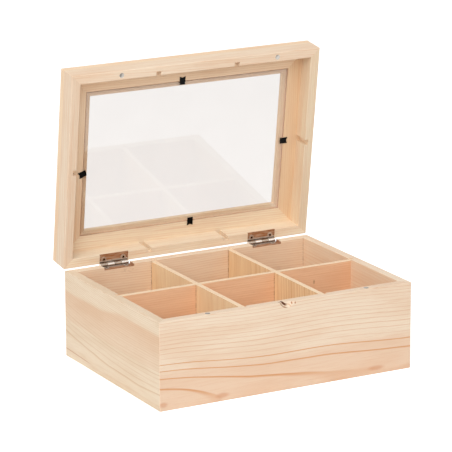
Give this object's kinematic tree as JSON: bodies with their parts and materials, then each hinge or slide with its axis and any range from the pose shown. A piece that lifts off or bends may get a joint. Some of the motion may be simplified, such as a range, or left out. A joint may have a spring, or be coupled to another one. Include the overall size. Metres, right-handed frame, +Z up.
{
  "type": "tea bag organizer box",
  "caption": "Pine box with compartments for tea bags under a hinged lid with a framed glass window, small butt hinges, rim magnets and a finger scoop in the front.",
  "frame": {"origin": "centre of the lower box's underside, on the surface it stands on", "axes": "+X to the right, +Y to the back, +Z up; the lid stands open at the back"},
  "size_m": [0.221, 0.1822, 0.2326],
  "materials": {
    "pine": "unfinished, planed",
    "pine_dividers": "unfinished, planed",
    "plywood": "unfinished",
    "window_glass": "clear, polished",
    "black_steel": "blackened, satin",
    "nickel": "nickel plated, satin",
    "magnet_plating": "nickel plated, dull"
  },
  "bodies": {
    "box": {"base_front_wall": "pine", "base_rear_wall": "pine", "base_left_wall": "pine", "base_right_wall": "pine", "base_bottom_panel": "plywood", "long_divider": "pine_dividers", "left_cross_divider": "pine_dividers", "right_cross_divider": "pine_dividers", "base_left_magnet": "magnet_plating", "base_right_magnet": "magnet_plating", "left_hinge_base_leaf": "nickel", "left_hinge_base_screws": "nickel", "right_hinge_base_leaf": "nickel", "right_hinge_base_screws": "nickel"},
    "lid": {"lid_front_rail": "pine", "lid_rear_rail": "pine", "lid_left_rail": "pine", "lid_right_rail": "pine", "lid_frame_front": "pine", "lid_frame_rear": "pine", "lid_frame_left": "pine", "lid_frame_right": "pine", "glass_pane": "window_glass", "front_glass_tab": "black_steel", "rear_glass_tab": "black_steel", "left_glass_tab": "black_steel", "right_glass_tab": "black_steel", "lid_left_magnet": "magnet_plating", "lid_right_magnet": "magnet_plating", "left_hinge_lid_leaf": "nickel", "left_hinge_pin": "nickel", "left_hinge_lid_screws": "nickel", "right_hinge_lid_leaf": "nickel", "right_hinge_pin": "nickel", "right_hinge_lid_screws": "nickel"}
  },
  "joints": [
    {"name": "lid_hinge", "type": "hinge", "parent": "box", "child": "lid", "pos_m": [0, 0.0815, 0.0694], "axis": [-1, 0, 0], "range_deg": [-82.4, 97.6]}
  ]
}
